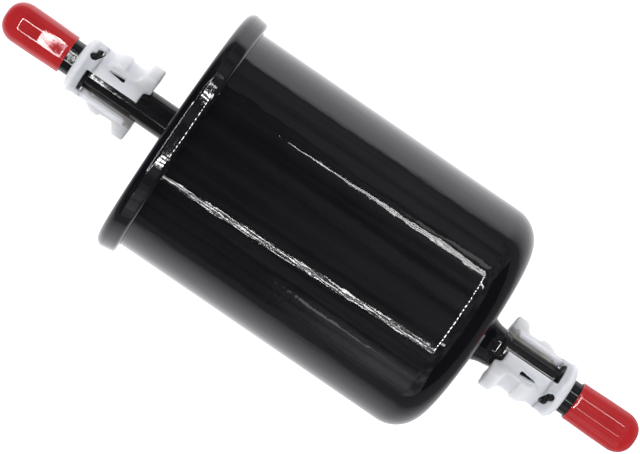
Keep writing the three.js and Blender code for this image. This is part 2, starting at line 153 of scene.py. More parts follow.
# %% [markdown]
# ## Shader maths as Python
# A node tree is easier to read as an expression. `Value` wraps one socket, and adding or multiplying
# two values adds the Math node that does it. Every other node comes from `Graph.node`, which takes the
# node's type, its settings, and what its sockets hold or are linked to.

# %% A socket that does arithmetic
class Value:
    def __init__(self, graph, socket):
        self.graph, self.socket = graph, socket

    def _math(self, operation, first, second):
        return self.graph.math(operation, first, second)

    def __add__(self, other):
        return self._math("ADD", self, other)

    def __sub__(self, other):
        return self._math("SUBTRACT", self, other)

    def __rsub__(self, other):
        return self._math("SUBTRACT", other, self)

    def __mul__(self, other):
        return self._math("MULTIPLY", self, other)

    def __truediv__(self, other):
        return self._math("DIVIDE", self, other)

    __radd__ = __add__
    __rmul__ = __mul__


# %% A tree that makes its own nodes
class Made:
    """A new node, whose outputs are read by name or number as Values."""

    def __init__(self, graph, node):
        self.graph, self.node = graph, node

    def __getitem__(self, output):
        return Value(self.graph, self.node.outputs[output])


class Graph:
    def __init__(self, tree):
        self.tree = tree

    def node(self, kind, settings=None, inputs=None):
        node = self.tree.nodes.new(kind)
        for name, setting in (settings or {}).items():
            setattr(node, name, setting)
        for key, held in (inputs or {}).items():
            if isinstance(held, Value):
                self.tree.links.new(held.socket, node.inputs[key])
            else:
                node.inputs[key].default_value = held
        return Made(self, node)

    def math(self, operation, *values):
        return self.node("ShaderNodeMath", {"operation": operation}, dict(enumerate(values)))[0]


# %% [markdown]
# ## A start for every finish
# Each finish on the filter is one Principled shader. What is even over the surface is set on the
# shader's own sockets. What varies comes from noise in Object coordinates, so the pattern stays on the
# piece and keeps its real scale.

# %% The shared parts of a finish
def new_finish(name, base, roughness, **even):
    """A material, its graph and its shader, with the sockets that stay even already set."""
    material = bpy.data.materials.new(name)
    material.use_nodes = True
    graph = Graph(material.node_tree)
    shader = material.node_tree.nodes["Principled BSDF"]
    shader.inputs["Base Color"].default_value = (*base, 1)
    shader.inputs["Roughness"].default_value = roughness
    for socket, value in even.items():
        shader.inputs[socket.replace("_", " ")].default_value = value
    material.diffuse_color = (*base, 1)
    return material, graph, shader


def noise(graph, size_mm, detail=3.0, stretch=(1, 1, 1)):
    """Noise whose blotches are about size_mm across, longer along an axis where stretch is small."""
    place = graph.node("ShaderNodeTexCoord")["Object"]
    scale = [axis / (size_mm * MM) for axis in stretch]
    placed = graph.node("ShaderNodeMapping", None, {"Vector": place, "Scale": scale})["Vector"]
    return graph.node("ShaderNodeTexNoise", None,
                      {"Vector": placed, "Scale": 1.0, "Detail": detail})["Fac"]


def link(graph, value, shader, socket):
    graph.tree.links.new(value.socket, shader.inputs[socket])


def add_relief(graph, shader, height, depth_mm):
    """Bump from a height between 0 and 1, where 1 stands depth_mm above 0."""
    bump = graph.node("ShaderNodeBump", None, {"Height": height, "Distance": depth_mm * MM})
    link(graph, bump["Normal"], shader, "Normal")


def add_tint(graph, shader, mask, first, second):
    """Base colour between two colours."""
    mixed = graph.node("ShaderNodeMix", {"data_type": "RGBA"},
                       {0: mask, 6: (*first, 1), 7: (*second, 1)})
    link(graph, mixed[2], shader, "Base Color")


# %% One noise pattern may drive several things
FINISHES = {}


def add_finish(name, base, roughness, pattern, tints=None, haze=None, relief=None, own=None, **even):
    """A finish varied by one noise pattern.

    tints is two colours, haze is how much the roughness spreads and its least, and relief is a depth
    in millimetres. The relief follows the pattern, or its own noises, each a weight and settings.
    """
    material, graph, shader = new_finish(name, base, roughness, **even)
    mask = noise(graph, *pattern)
    if tints:
        add_tint(graph, shader, mask, *tints)
    if haze:
        link(graph, mask * haze[0] + haze[1], shader, "Roughness")
    if relief:
        height = sum(noise(graph, *settings) * weight for weight, *settings in own) if own else mask
        add_relief(graph, shader, height, relief)
    FINISHES[name] = material


# %% [markdown]
# ## Black paint on the can
# Stoved gloss paint is nearly black and nearly a mirror. What tells it from plastic is orange peel, a
# shallow unevenness a few millimetres across that makes a straight highlight waver, and a faint haze
# where the roughness drifts. Both are noise, and the relief is a few hundredths of a millimetre deep.

# %% Paint, tube coating and braze
add_finish("gloss_black_paint", (0.005, 0.005, 0.006), 0.04, [14],
           [(0.003, 0.003, 0.004), (0.007, 0.007, 0.009)], (0.03, 0.02), 0.045,
           [(1, 3.2, 2.0, (0.35, 1, 1)), (0.12, 1.0, 1.0)])
add_finish("black_coated_tube", (0.008, 0.008, 0.009), 0.06, [1.2, 3.0, (0.2, 1, 1)],
           [(0.005, 0.005, 0.006), (0.012, 0.012, 0.013)], (0.06, 0.03), 0.012,
           [(1, 1.2, 3.0, (0.2, 1, 1)), (1, 1.6, 2.0)])
add_finish("braze", (0.008, 0.008, 0.009), 0.1, [0.9, 3.0],
           [(0.005, 0.005, 0.006), (0.014, 0.013, 0.014)], (0.1, 0.05), 0.03)

# %% [markdown]
# ## Nylon and vinyl
# The clips are natural nylon: milky, with light that sinks in a little before it comes back, so the
# shader has some subsurface. The caps are dipped red vinyl, glossy but softer than paint, and the dip
# leaves the colour a little uneven.

# %% Clip nylon and cap vinyl
add_finish("clip_nylon", (0.75, 0.77, 0.81), 0.36, [6, 2.0],
           [(0.72, 0.74, 0.79), (0.78, 0.77, 0.75)], (0.16, 0.26), 0.008, [(1, 0.45, 3.0)],
           Subsurface_Weight=1.0, Subsurface_Scale=4 * MM, Subsurface_Radius=(1.0, 0.95, 0.85))
add_finish("red_vinyl", (0.46, 0.02, 0.024), 0.1, [6, 2.0],
           [(0.38, 0.012, 0.016), (0.54, 0.03, 0.032)], (0.04, 0.025), 0.03,
           [(1, 3.0, 1.0, (0.4, 1, 1))], Subsurface_Weight=0.12, Subsurface_Scale=0.6 * MM)

# %% [markdown]
# ## Finishes inside the can
# Nobody sees the element until the can is cut open, but each piece still gets its own finish: resin
# treated paper with fibres, bright tinplate with rolling lines, cast plastisol, moulded nylon, rubber
# and drawn spring wire.

# %% Paper, tinplate, plastisol, core, rubber, wire and seam compound
add_finish("filter_paper", (0.72, 0.5, 0.2), 0.9, [0.35, 6.0, (0.4, 1, 1)],
           [(0.58, 0.37, 0.12), (0.82, 0.62, 0.3)], relief=0.03)
add_finish("tinplate", (0.72, 0.73, 0.75), 0.3, [0.5, 4.0, (1, 0.06, 1)],
           [(0.62, 0.63, 0.65), (0.78, 0.79, 0.8)], (0.2, 0.2), Metallic=1.0)
add_finish("plastisol", (0.42, 0.13, 0.05), 0.5, [3.5, 3.0],
           [(0.36, 0.1, 0.035), (0.5, 0.17, 0.07)], relief=0.05)
add_finish("core_nylon", (0.03, 0.032, 0.036), 0.55, [0.4, 3.0], haze=(0.2, 0.42), relief=0.01)
add_finish("grommet_rubber", (0.02, 0.02, 0.021), 0.7, [2.0, 4.0],
           [(0.014, 0.014, 0.015), (0.035, 0.035, 0.037)], relief=0.01, own=[(1, 0.3, 2.0)])
add_finish("spring_steel", (0.5, 0.5, 0.51), 0.3, [0.25, 3.0], haze=(0.25, 0.18), Metallic=1.0)
add_finish("seam_compound", (0.12, 0.07, 0.045), 0.8, [0.6, 3.0],
           [(0.09, 0.05, 0.03), (0.17, 0.11, 0.07)])
print("finishes:", ", ".join(FINISHES))

# %% [markdown]
# ## Outlines and turning
# Most of the filter is round, so most pieces are an outline of [x, radius] corners spun about the
# axis. A corner may carry a third number, the radius of the fillet that rolls it over. Pressed and
# moulded edges are never sharp, and it is those small fillets that catch the light.

# %% Round the corners of an outline
def rounded(corners, closed=True, steps=5):
    """The outline's points, with an arc wherever a corner has a fillet radius as its third number."""
    points = []
    for i, corner in enumerate(corners):
        place = Vector(corner[:2])
        fillet = corner[2] if len(corner) > 2 else 0
        is_end = not closed and i in (0, len(corners) - 1)
        if not fillet or is_end:
            points.append(place)
            continue
        back = Vector(corners[i - 1][:2]) - place
        ahead = Vector(corners[(i + 1) % len(corners)][:2]) - place
        half = back.angle(ahead) / 2
        reach = min(fillet / math.tan(half), 0.49 * back.length, 0.49 * ahead.length)
        towards_centre = (back.normalized() + ahead.normalized()).normalized()
        centre = place + towards_centre * (reach / math.cos(half))
        start = place + back.normalized() * reach - centre
        sweep = start.angle_signed(place + ahead.normalized() * reach - centre)
        for k in range(steps + 1):
            spin = Matrix.Rotation(-sweep * k / steps, 2)
            points.append(centre + spin @ start)
    return points


def arc(centre_x, centre_radius, radius, first, last, steps):
    """Points of an arc in the outline's plane, from one angle in degrees to another."""
    angles = [math.radians(first + (last - first) * k / steps) for k in range(steps + 1)]
    return [(centre_x + radius * math.cos(a), centre_radius + radius * math.sin(a)) for a in angles]


# %% Hold the long stretches straight
HOLD = 0.35  # how far from its ends a long stretch gets a point
LONG_STRETCH = 2.0


def held(points, closed=True):
    """The same outline, with a point near each end of a long stretch.

    Smooth shading blends the normals over a whole face. Without these points, a long straight wall
    would mirror the lamps as if it were bent all the way along.
    """
    result = []
    for i, point in enumerate(points):
        result.append(point)
        if not closed and i == len(points) - 1:
            break
        start, end = Vector(point), Vector(points[(i + 1) % len(points)])
        stretch = (end - start).length
        if stretch > LONG_STRETCH:
            result.append(start.lerp(end, HOLD / stretch))
            result.append(end.lerp(start, HOLD / stretch))
    return result


# %% Spin an outline into a mesh
def tidy_mesh(mesh, sharp_degrees=32, unit=MM):
    """Merged, with faces pointing out, and smooth except where two faces meet at a real edge."""
    work = bmesh.new()
    work.from_mesh(mesh)
    bmesh.ops.remove_doubles(work, verts=work.verts, dist=0.002 * unit)
    bmesh.ops.dissolve_degenerate(work, edges=work.edges, dist=0.001 * unit)
    bmesh.ops.recalc_face_normals(work, faces=work.faces)
    for face in work.faces:
        face.smooth = True
    for edge in work.edges:
        edge.smooth = edge.calc_face_angle(0) < math.radians(sharp_degrees)
    work.to_mesh(mesh)
    work.free()


def turned_mesh(name, points, facets, closed=True, unit=MM):
    """A mesh spun about the X axis. An open outline starts and ends on the axis."""
    verts, faces = [], []
    for i in range(facets):
        angle = 2 * math.pi * i / facets
        for x, radius in points:
            across, up = radius * math.cos(angle), radius * math.sin(angle)
            verts.append((x * unit, across * unit, up * unit))
    count = len(points)
    for i in range(facets):
        here, there = i * count, ((i + 1) % facets) * count
        for k in range(count if closed else count - 1):
            after = (k + 1) % count
            faces.append((here + k, here + after, there + after, there + k))
    mesh = bpy.data.meshes.new(name)
    mesh.from_pydata(verts, [], faces)
    tidy_mesh(mesh, unit=unit)
    return mesh


def add_piece(name, mesh, finish):
    """An object at the origin, with its place in its mesh and its finish in its one slot."""
    mesh.materials.clear()
    mesh.materials.append(FINISHES[finish])
    piece = bpy.data.objects.new(name, mesh)
    bpy.context.collection.objects.link(piece)
    return piece


def fit_piece(piece, body, nodes):
    """The piece rides on a body and stands for these nodes."""
    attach(piece, body)
    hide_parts(*nodes)
    print(f"{piece.name}: {len(piece.data.polygons)} faces on {body}")
    return piece


def turned_piece(node, corners, facets, finish, body="housing", closed=True):
    points = held(rounded(corners, closed), closed)
    piece = add_piece(f"{node}_fine", turned_mesh(node, points, facets, closed), finish)
    return fit_piece(piece, body, [node])


# %% [markdown]
# ## The can
# The can is drawn from one sheet: a straight wall, a rounded closed end with a slightly raised middle,
# and a short neck that flares into it where the outlet tube goes through. At its open end the wall
# turns outwards into a hook that the cover is rolled round.

# %% Turn the can
LARGE_FACETS = 192
SMALL_FACETS = 96


def neck_curve(steps=8):
    """The concave outside of the neck, from its tip down to the raised boss."""
    tip_radius = TUBE_HOLE + NECK_TIP_WALL
    height = NECK_TIP_X - CLOSED_END_X - BOSS_HEIGHT
    curve = []
    for k in range(steps + 1):
        share = 1 - k / steps
        curve.append((NECK_TIP_X - height * (1 - share), tip_radius + NECK_FLARE * (1 - share) ** 2))
    return curve


def can_outline():
    bore = BODY_RADIUS - SHEET
    round_x = CLOSED_END_X - CORNER_RADIUS
    round_radius = BODY_RADIUS - CORNER_RADIUS
    boss_x = CLOSED_END_X + BOSS_HEIGHT
    hook_end_x = HOOK_TOP_X + 2
    return [
        (NECK_TIP_X, TUBE_HOLE, 0.1),
        *neck_curve(),
        (boss_x, BOSS_RADIUS, 1.2),
        (CLOSED_END_X, BOSS_RADIUS + BOSS_HEIGHT, 0.8),
        *arc(round_x, round_radius, CORNER_RADIUS, 0, 90, 18),
        (HOOK_TOP_X + SHEET, BODY_RADIUS, 0.4),
        (HOOK_TOP_X + SHEET, HOOK_RADIUS - SHEET, 0.2),
        (hook_end_x, HOOK_RADIUS - SHEET, 0.2),
        (hook_end_x, HOOK_RADIUS, 0.2),
        (HOOK_TOP_X, HOOK_RADIUS, 0.7),
        (HOOK_TOP_X, bore, 0.7),
        *arc(round_x, round_radius, CORNER_RADIUS - SHEET, 90, 0, 18),
        (CLOSED_END_X - SHEET, BOSS_RADIUS + 0.2, 0.6),
        (boss_x - SHEET, BOSS_RADIUS - 0.4, 0.8),
        (boss_x - SHEET, TUBE_HOLE, 0.3),
    ]


turned_piece("canister", can_outline(), LARGE_FACETS, "gloss_black_paint")

# %% [markdown]
# ## The rolled cover
# The cover is sunk into the can, climbs its wall, rolls over the crest and tucks back under the can's
# hook, as on a food tin. That double seam is the fat band at the inlet end. Its outer face leans in a
# little towards the can, and its lower lip ends just clear of the wall, which draws the dark line there.

# %% Turn the cover and the sealing ring
def cover_outline():
    chuck = BODY_RADIUS - SHEET - FIT_GAP
    inside = chuck - SHEET
    panel_x = CREST_X + COUNTERSINK
    rear_x = CREST_X + SEAM_DEPTH
    crest_x, crest_radius = CREST_X + SEAM_ROUND, SEAM_RADIUS - SEAM_ROUND
    lip_radius = BODY_RADIUS + FIT_GAP
    return [
        (COVER_INSIDE_X, TUBE_HOLE, 0.2),
        (panel_x, TUBE_HOLE, 0.2),
        (panel_x, inside, 1.0),
        (CREST_X, inside + 0.4, 0.9),
        *arc(crest_x, crest_radius, SEAM_ROUND, 180, 90, 10),
        (rear_x - 0.4, SEAM_RADIUS - 0.42, 0.8),
        (rear_x, SEAM_RADIUS - 1.0, 0.5),
        (rear_x, lip_radius, 0.25),
        (rear_x - 0.75, lip_radius, 0.25),
        (rear_x - 0.75, SEAM_RADIUS - SHEET, 0.2),
        *arc(crest_x, crest_radius, SEAM_ROUND - SHEET, 90, 180, 8),
        (CREST_X + SHEET, chuck + 0.3, 0.4),
        (CREST_X + 2 * SHEET, chuck, 0.4),
        (COVER_INSIDE_X, chuck, 1.4),
    ]


def seal_outline():
    start_x = CREST_X + SHEET + FIT_GAP
    inner = BODY_RADIUS - SHEET + FIT_GAP
    outer = SEAM_RADIUS - SEAM_ROUND + 0.15
    return [(start_x, inner, 0.15), (start_x, outer, 0.15),
            (start_x + 0.6, outer, 0.15), (start_x + 0.6, inner, 0.15)]


turned_piece("end_cover", cover_outline(), LARGE_FACETS, "gloss_black_paint")
turned_piece("cover_seal", seal_outline(), SMALL_FACETS, "seam_compound")

# %% [markdown]
# ## The spigots
# Each spigot is drawn tube with a rolled bead that the clip and the mating connector lock behind. The
# inlet and outlet tubes differ only in where their foot flange sits, so one outline serves both and is
# mirrored for the inlet. A ring of braze joins each tube where it leaves the steel.

# %% Turn the tubes
FOOT_THICKNESS = 0.8


def tube_outline(end_x, inside_x, foot_x, side):
    """From the open end inwards. side is -1 at the inlet and +1 at the outlet."""
    half = BEAD_WIDTH / 2
    foot_end_x = foot_x - FOOT_THICKNESS * side
    bead_x = BEAD_X * side
    return [
        (end_x, TUBE_RADIUS - TUBE_WALL, 0.15),
        (end_x, TUBE_RADIUS - 0.45),
        *arc(end_x - 0.9 * side, TUBE_RADIUS - 0.45, 0.45, 90 - 70 * side, 90, 3),
        (bead_x + half * side, TUBE_RADIUS, 0.3),
        (bead_x + (half - 0.1) * side, BEAD_RADIUS, 0.75),
        (bead_x - (half - 0.1) * side, BEAD_RADIUS, 0.75),
        (bead_x - half * side, TUBE_RADIUS, 0.3),
        (foot_x, TUBE_RADIUS, 0.2),
        (foot_x, FOOT_RADIUS, 0.25),
        (foot_end_x, FOOT_RADIUS, 0.25),
        (foot_end_x, TUBE_RADIUS, 0.2),
        (inside_x, TUBE_RADIUS, 0.25),
        (inside_x, TUBE_RADIUS - TUBE_WALL, 0.25),
    ]


inlet_foot_x = COVER_INSIDE_X + FIT_GAP
outlet_foot_x = CLOSED_END_X + BOSS_HEIGHT - SHEET - FIT_GAP
inlet_corners = tube_outline(INLET_END_X, INLET_INSIDE_X, inlet_foot_x, -1)
outlet_corners = tube_outline(OUTLET_END_X, OUTLET_INSIDE_X, outlet_foot_x, 1)
turned_piece("inlet_tube", inlet_corners, SMALL_FACETS, "black_coated_tube")
turned_piece("outlet_tube", outlet_corners, SMALL_FACETS, "black_coated_tube")


# %% Run the braze rings
def braze_outline(node, tapers_towards_low):
    """A fillet of metal that is widest at the face it stands on."""
    low_x, high_x, radius = turned_span(node)
    face_x, tip_x = (high_x, low_x) if tapers_towards_low else (low_x, high_x)
    width, length = radius - TUBE_HOLE, tip_x - face_x
    curve = [(face_x + length * k / 6, TUBE_HOLE + width * (1 - k / 6) ** 1.7) for k in range(6)]
    return [(face_x, TUBE_HOLE), *curve, (tip_x, TUBE_HOLE)]


for node, towards_low in (("inlet_braze_ring", True), ("outlet_braze_ring", False)):
    turned_piece(node, braze_outline(node, towards_low), SMALL_FACETS, "braze")

# %% [markdown]
# ## Dust caps
# A dust cap is dipped vinyl: one thin cup that grips the tube. The former gives it a round nose and a
# mouth a little narrower than the middle, and the dip leaves a soft rolled lip.

# %% Turn the caps
CAP_BORE = TUBE_RADIUS + 0.1
CAP_NOSE_FLAT = 1.0
CAP_NOSE_STRETCH = 1.15  # the nose is a little longer than a half ball


def cap_outline(node, side):
    low, high, radius = turned_span(node)
    tip_x, mouth_x = (high, low) if side > 0 else (low, high)
    nose = radius - CAP_NOSE_FLAT
    nose_arc = arc(0, CAP_NOSE_FLAT, nose, 0, 90, 16)
    floor_x = (OUTLET_END_X + FIT_GAP) * side
    return [
        (tip_x, 0),
        *[(tip_x - side * (nose - x) * CAP_NOSE_STRETCH, r) for x, r in nose_arc],
        (mouth_x + 7 * side, radius - 0.02, 3),
        (mouth_x + 1.5 * side, radius - 0.15, 1),
        (mouth_x, radius - 0.14, 0.2),
        (mouth_x, CAP_BORE, 0.15),
        (floor_x, CAP_BORE, 1.0),
        (floor_x, 0),
    ]


for node, side in (("inlet_cap", -1), ("outlet_cap", 1)):
    turned_piece(node, cap_outline(node, side), SMALL_FACETS, "red_vinyl", node, closed=False)

# %% [markdown]
# ## The quick-connect clips
# Each clip is one nylon moulding. A collar snaps over the bead. Two legs hang from it on thin living
# hinges, and each leg is a curved skirt with a ramp that locks the connector and a thumb tab.
# It is easiest to cut and join plain solids in millimetres, then to remesh them with small voxels and
# smooth that a little. The voxels melt the solids into one body and leave the soft edges of a moulding.

# %% Sizes of the clip, with its front face at x = 0
CLIP_FRONT_X = BEAD_X + 3
COLLAR_BORE = TUBE_RADIUS + FIT_GAP
GROOVE_RADIUS = BEAD_RADIUS + FIT_GAP
NECK_RADIUS = GROOVE_RADIUS + 0.6
FLANGE_RADIUS = 6.7
LEG_BORE = TUBE_RADIUS + 1.0
LEG_RADIUS = LEG_BORE + 1.2
LEG_HALF_ANGLE = 61
LEG_START = 4.15
HINGE_BORE = TUBE_RADIUS + 0.45  # the leg comes in close to the tube at its hinge
SKIRT_END = 16.0
LEG_RELIEF_START, LEG_END_RELIEF = 15.4, 0.7  # a pressed leg clears the braze ring
CLIP_END = 17.5
HINGE_X = 4.475  # the plane through both living hinges
TAB_HALF_WIDTH, TAB_RISE = 3.1, 3.1
SHOULDER_RISE = 1.4  # the step that locks behind the mating connector


# %% Solids to cut and join
def part_turn(name, outline_at, half_angle, steps):
    """A solid swept about X over +Z, with an outline that may change with the angle."""
    verts, faces = [], []
    angles = [-half_angle + 2 * half_angle * i / steps for i in range(steps + 1)]
    for angle in angles:
        turn = math.radians(angle)
        rings = [(x, r * math.sin(turn), r * math.cos(turn)) for x, r in outline_at(angle)]
        verts.extend(rings)
    count = len(rings)
    for i in range(steps):
        for k in range(count):
            after = (k + 1) % count
            faces.append((i * count + k, i * count + after,
                          (i + 1) * count + after, (i + 1) * count + k))
    faces.append(tuple(range(count)))
    faces.append(tuple(range(steps * count, (steps + 1) * count)))
    return closed_mesh(name, verts, faces)


def between(name, first_ring, last_ring):
    """A solid between two rings of as many corners."""
    count = len(first_ring)
    faces = [tuple(range(count)), tuple(range(count, 2 * count))]
    faces += [(k, (k + 1) % count, count + (k + 1) % count, count + k) for k in range(count)]
    return closed_mesh(name, first_ring + last_ring, faces)


def prism(name, outline, low, high):
    """An outline in the XY plane, raised along Z."""
    return between(name, *[[(x, y, z) for x, y in outline] for z in (low, high)])


def closed_mesh(name, verts, faces):
    mesh = bpy.data.meshes.new(name)
    mesh.from_pydata(verts, [], faces)
    work = bmesh.new()
    work.from_mesh(mesh)
    bmesh.ops.recalc_face_normals(work, faces=work.faces)
    work.to_mesh(mesh)
    work.free()
    return mesh


def turned_about_x(mesh, degrees):
    copy = mesh.copy()
    copy.transform(Matrix.Rotation(math.radians(degrees), 4, "X"))
    return copy


# %% Run modifiers on a mesh
def with_modifiers(mesh, *steps):
    """The mesh after modifiers, each given as its type and its settings. A mesh setting is a tool."""
    holder = bpy.data.objects.new("holder", mesh)
    bpy.context.collection.objects.link(holder)
    tools = []
    for kind, settings in steps:
        modifier = holder.modifiers.new(kind.lower(), kind)
        for name, setting in settings.items():
            if isinstance(setting, bpy.types.Mesh):
                setting = bpy.data.objects.new("tool", setting)
                bpy.context.collection.objects.link(setting)
                tools.append(setting)
            setattr(modifier, name, setting)
    graph = bpy.context.evaluated_depsgraph_get()
    result = bpy.data.meshes.new_from_object(holder.evaluated_get(graph))
    for used in (holder, *tools):
        bpy.data.objects.remove(used)
    return result


def cut(mesh, *tools):
    return with_modifiers(mesh, *[("BOOLEAN", {"operation": "DIFFERENCE", "object": tool})
                                  for tool in tools])


def joined(*meshes):
    """Several meshes as the loose shells of one mesh."""
    work = bmesh.new()
    for mesh in meshes:
        work.from_mesh(mesh)
    result = bpy.data.meshes.new("joined")
    work.to_mesh(result)
    work.free()
    return result


# %% Openings in the clip
WINDOW_X, WINDOW_ANGLE, WINDOW_SLANT = 3.35, 21, 27
SLIT_ANGLE = 37
LOBE_RADIUS, LOBE_OFFSET = 1.0, 1.0


def bead_window():
    """A slanted opening of two lobes, with a small tooth between them on its front edge."""
    lobes = arc(-LOBE_OFFSET, 0, LOBE_RADIUS, 90, 325, 12)
    lobes += arc(LOBE_OFFSET, 0, LOBE_RADIUS, 215, 450, 12)
    slant = math.radians(90 + WINDOW_SLANT)
    outline = []
    for along, rearwards in lobes:
        x = WINDOW_X - along * math.cos(slant) + rearwards * math.sin(slant)
        y = along * math.sin(slant) + rearwards * math.cos(slant)
        outline.append((x, y))
    window = prism("window", outline, TUBE_RADIUS - 1, FLANGE_RADIUS + 1)
    return turned_about_x(window, WINDOW_ANGLE)


def wedge_slit(side):
    outline = [(6.4, 0), (11.3, -0.6), (11.3, 0.6)]
    return turned_about_x(prism("slit", outline, 0, FLANGE_RADIUS + 1), -SLIT_ANGLE * side)


WINDOW = bead_window()
SLITS = [wedge_slit(side) for side in (-1, 1)]


# %% The collar and a leg
def collar_solid():
    outline = rounded([
        (0, COLLAR_BORE), (0, COLLAR_BORE + 0.6, 0.3), (0.4, FLANGE_RADIUS - 0.8, 0.6),
        (1.3, FLANGE_RADIUS + 0.05, 0.6), (2.5, NECK_RADIUS + 0.05, 1.0),
        (4.6, NECK_RADIUS), (4.6, GROOVE_RADIUS), (1.8, GROOVE_RADIUS), (1.8, COLLAR_BORE),
    ])
    collar = turned_mesh("collar", outline, SMALL_FACETS, unit=1.0)
    gap = [(3.2, GROOVE_RADIUS - 2), (3.2, FLANGE_RADIUS + 2),
           (6, FLANGE_RADIUS + 2), (6, GROOVE_RADIUS - 2)]
    opening = part_turn("opening", lambda angle: gap, 90 - LEG_HALF_ANGLE, 16)
    openings = [turned_about_x(opening, side) for side in (90, -90)]
    windows = [WINDOW, turned_about_x(WINDOW, 180)]
    return cut(collar, *openings, *windows)


def skirt_at(angle):
    """The skirt's outline at an angle from the leg's middle. It is longer under the tab."""
    share = min(max((38 - abs(angle)) / 20, 0), 1)
    end = SKIRT_END + (CLIP_END - 0.2 - SKIRT_END) * share
    return [(LEG_START, HINGE_BORE), (LEG_START, LEG_RADIUS), (end, LEG_RADIUS),
            (end, LEG_BORE + LEG_END_RELIEF), (LEG_RELIEF_START, LEG_BORE),
            (6.6, LEG_BORE), (5.9, HINGE_BORE)]


def ramp_and_tab():
    shoulder = LEG_RADIUS + SHOULDER_RISE
    top = LEG_RADIUS + TAB_RISE
    middle = LEG_BORE + 0.6
    outline = rounded([
        (6.0, middle), (6.0, LEG_RADIUS - 0.1, 0.4), (8.2, shoulder, 0.8), (10.2, shoulder, 0.2),
        (10.35, shoulder - 0.65, 0.2), (13.4, shoulder - 0.85, 0.9), (14.6, top, 0.7),
        (CLIP_END, top - 0.1, 0.6), (CLIP_END, LEG_RADIUS - 0.3, 0.2), (16.6, middle),
    ])
    swept = part_turn("ramp", lambda angle: outline, 48, 32)
    half = TAB_HALF_WIDTH
    slab = prism("slab", [(0, -half), (20, -half), (20, half), (0, half)], 0, top + 1)
    return with_modifiers(swept, ("BOOLEAN", {"operation": "INTERSECT", "object": slab}))


def leg_solid():
    skirt = part_turn("skirt", skirt_at, LEG_HALF_ANGLE, 52)
    return joined(cut(skirt, WINDOW, *SLITS), ramp_and_tab())


# %% Melt them into one moulding
VOXEL = 0.15


def clip_moulding():
    leg = leg_solid()
    parts = joined(collar_solid(), leg, turned_about_x(leg, 180))
    remesh = ("REMESH", {"mode": "VOXEL", "voxel_size": VOXEL, "adaptivity": 0.0})
    smooth = ("SMOOTH", {"factor": 0.5, "iterations": 5})
    return with_modifiers(parts, remesh, smooth)


moulding = clip_moulding()
print("clip moulding:", len(moulding.polygons), "faces")


# %% Split the moulding at the hinges
def half_of(mesh, keep_rear, sign=0):
    """One side of the hinge plane, closed again where it is cut. sign picks the leg above or below."""
    work = bmesh.new()
    work.from_mesh(mesh)
    geometry = work.verts[:] + work.edges[:] + work.faces[:]
    bmesh.ops.bisect_plane(work, geom=geometry, plane_co=(HINGE_X, 0, 0), plane_no=(1, 0, 0),
                           clear_inner=keep_rear, clear_outer=not keep_rear)
    if sign:
        away = [face for face in work.faces if face.calc_center_median().z * sign < 0]
        bmesh.ops.delete(work, geom=away, context="FACES")
    rim = [edge for edge in work.edges if edge.is_boundary]
    bmesh.ops.holes_fill(work, edges=rim, sides=0)
    loose = [vert for vert in work.verts if not vert.link_faces]
    bmesh.ops.delete(work, geom=loose, context="VERTS")
    result = bpy.data.meshes.new("half")
    work.to_mesh(result)
    work.free()
    return result


def clip_place(side, leg_angle):
    """From the clip's own frame to its place on the tube. The outlet clip is turned end for end."""
    turn = Matrix.Rotation(math.radians(leg_angle - 90), 4, "X")
    end_for_end = Matrix.Rotation(math.pi if side > 0 else 0, 4, "Z")
    return Matrix.Scale(MM, 4) @ Matrix.Translation((side * CLIP_FRONT_X, 0, 0)) @ turn @ end_for_end


def clip_piece(name, half, place):
    mesh = half.copy()
    mesh.transform(place)
    tidy_mesh(mesh, 50)
    return add_piece(name, mesh, "clip_nylon")


def add_clip(body, side, leg_angle):
    place = clip_place(side, leg_angle)
    collar = clip_piece(f"{body}_collar_fine", half_of(moulding, False), place)
    fit_piece(collar, body, [f"{body}_collar"])
    for letter, sign in (("a", 1), ("b", -1)):
        node = f"{body}_leg_{letter}"
        leg = clip_piece(f"{node}_fine", half_of(moulding, True, sign), place)
        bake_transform(leg)
        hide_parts(node)


add_clip("inlet_clip", -1, 32)
add_clip("outlet_clip", 1, 142)

# %% [markdown]
# ## Geometry Nodes for what repeats
# Inside, three pieces follow a rule: the pleats go round and round, the spring follows a coil, and the
# centre tube has rows of windows. Each one is a small node tree with its sizes as named inputs, so
# that the rule can be read and changed. A tree's own sizes are in metres, as everything in Blender is.

# %% Build and run a tree
class GeometryTree(Graph):
    def __init__(self, name, **sizes):
        super().__init__(bpy.data.node_groups.new(name, "GeometryNodeTree"))
        self.tree.interface.new_socket("Geometry", in_out="OUTPUT", socket_type="NodeSocketGeometry")
        self.keys, self.sizes = {}, sizes
        for label, size in sizes.items():
            kind = "NodeSocketInt" if isinstance(size, int) else "NodeSocketFloat"
            made = self.tree.interface.new_socket(label, in_out="INPUT", socket_type=kind)
            self.keys[label] = made.identifier
        self.given = self.node("NodeGroupInput")

    def size(self, label):
        return self.given[label]

    def join(self, x=0.0, y=0.0, z=0.0):
        return self.node("ShaderNodeCombineXYZ", None, {"X": x, "Y": y, "Z": z})["Vector"]

    def grow(self, geometry, finish):
        """Realise, give the finish, and hand back a plain mesh."""
        real = self.node("GeometryNodeRealizeInstances", None, {"Geometry": geometry})["Geometry"]
        coat = self.node("GeometryNodeSetMaterial", None,
                         {"Geometry": real, "Material": FINISHES[finish]})
        output = self.tree.nodes.new("NodeGroupOutput")
        self.tree.links.new(coat["Geometry"].socket, output.inputs["Geometry"])
        holder = bpy.data.objects.new(self.tree.name, bpy.data.meshes.new(self.tree.name))
        modifier = holder.modifiers.new("grow", "NODES")
        modifier.node_group = self.tree
        for label, size in self.sizes.items():
            modifier[self.keys[label]] = size
        bpy.context.collection.objects.link(holder)
        graph = bpy.context.evaluated_depsgraph_get()
        mesh = bpy.data.meshes.new_from_object(holder.evaluated_get(graph))
        bpy.data.objects.remove(holder)
        return mesh


